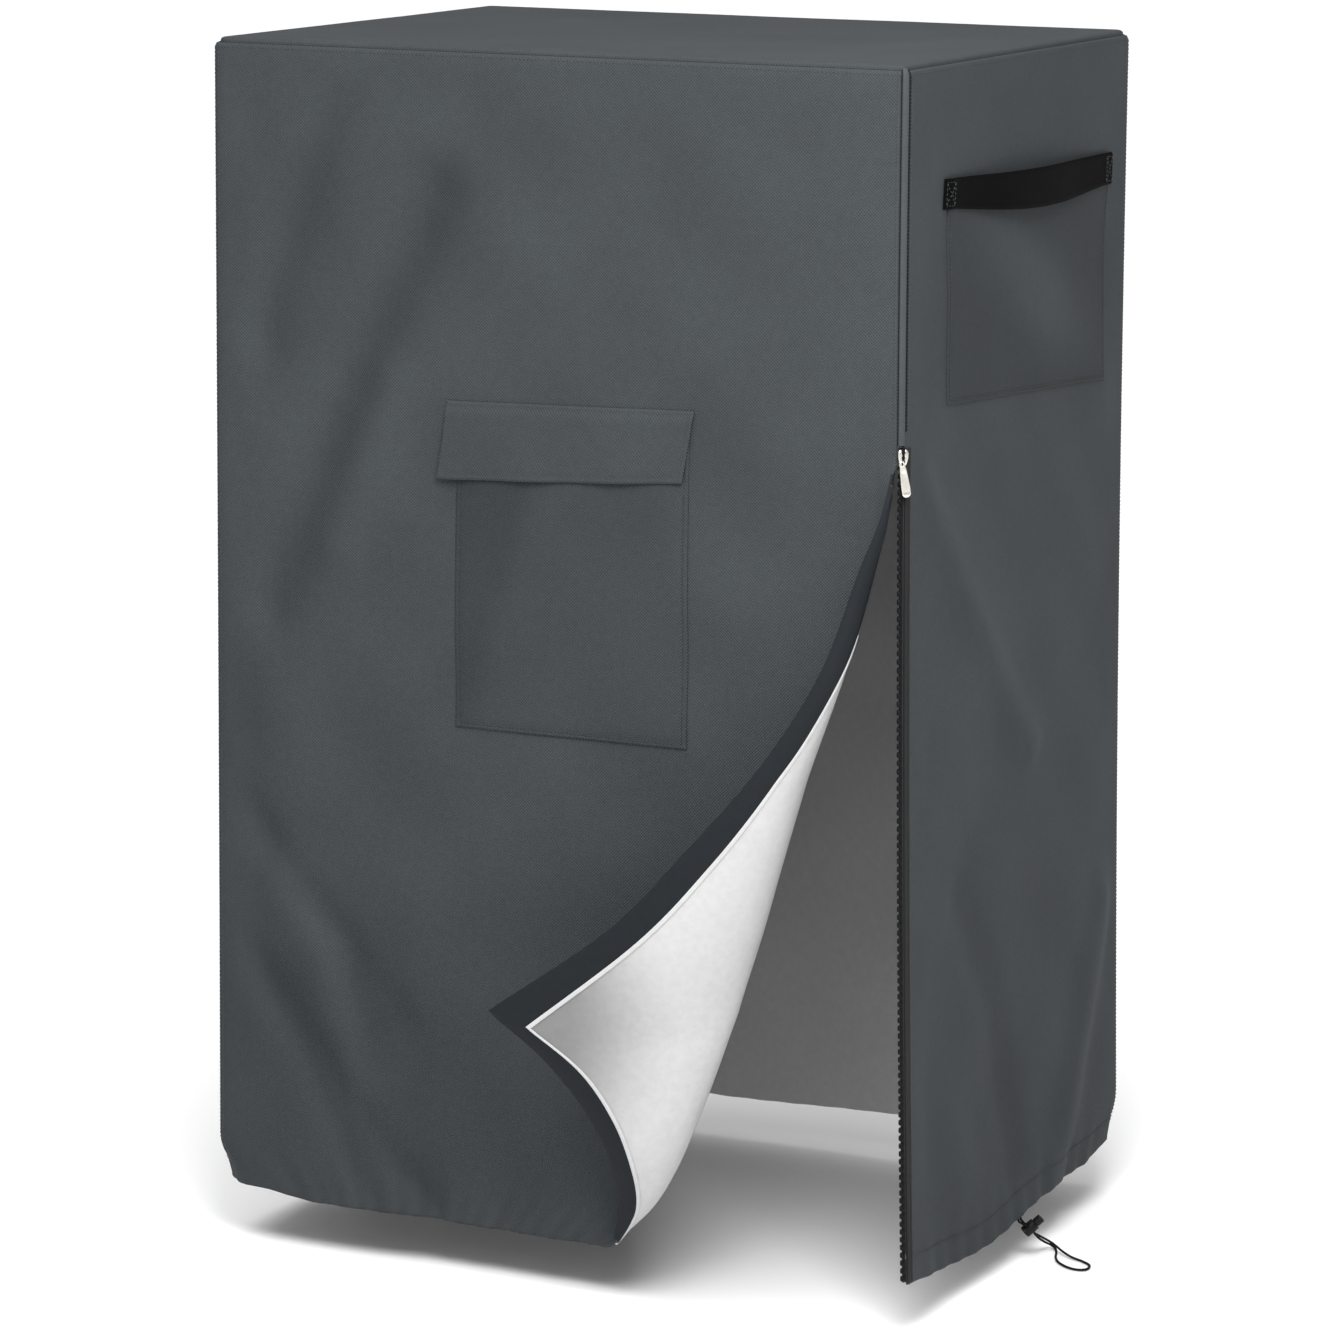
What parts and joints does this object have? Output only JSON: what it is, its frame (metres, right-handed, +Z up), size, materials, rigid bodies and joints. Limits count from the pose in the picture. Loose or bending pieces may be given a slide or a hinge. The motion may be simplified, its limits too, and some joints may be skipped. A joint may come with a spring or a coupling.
{
  "type": "evaporative cooler cover",
  "caption": "Fitted dark grey cloth cover for an upright evaporative cooler, with a half-open corner zip, a folded-out corner, pockets, a carry strap and a drawcord hem.",
  "frame": {"origin": "under the middle of the cover's top, where the cooler that it covers holds it up", "axes": "+X to the right along the front as seen from the front, +Y to the back, +Z up"},
  "size_m": [0.6971, 0.5884, 1.0111],
  "materials": {
    "cover_cloth": "dark grey coated woven polyester, soft matt sheen, pale silver coating on the inner face",
    "pocket_cloth": "the same dark grey cloth, a shade darker",
    "facing_cloth": "near-black grey matt facing tape",
    "black_webbing": "black woven webbing",
    "zip_tape_cloth": "dark grey woven zip tape",
    "zip_coil": "black nylon zip coil",
    "pale_nickel": "pale satin nickel plate",
    "black_cord": "black braided cord",
    "black_plastic": "black moulded plastic, slightly glossy"
  },
  "bodies": {
    "root": {"top_panel": "cover_cloth", "front_panel": "cover_cloth", "left_panel": "cover_cloth", "back_panel": "cover_cloth", "right_panel": "cover_cloth", "front_pocket": "pocket_cloth", "pocket_flap": "cover_cloth", "side_pocket": "pocket_cloth", "handle_strap": "black_webbing", "zip_welt": "zip_tape_cloth", "zip_facing": "facing_cloth", "hem_facing": "facing_cloth", "zip_tape": "zip_tape_cloth", "zip_teeth": "zip_coil", "zip_slider": "pale_nickel", "zip_pull": "pale_nickel", "cord_loop": "black_cord", "cord_lock": "black_plastic", "lock_plunger": "black_plastic"}
  },
  "joints": []
}
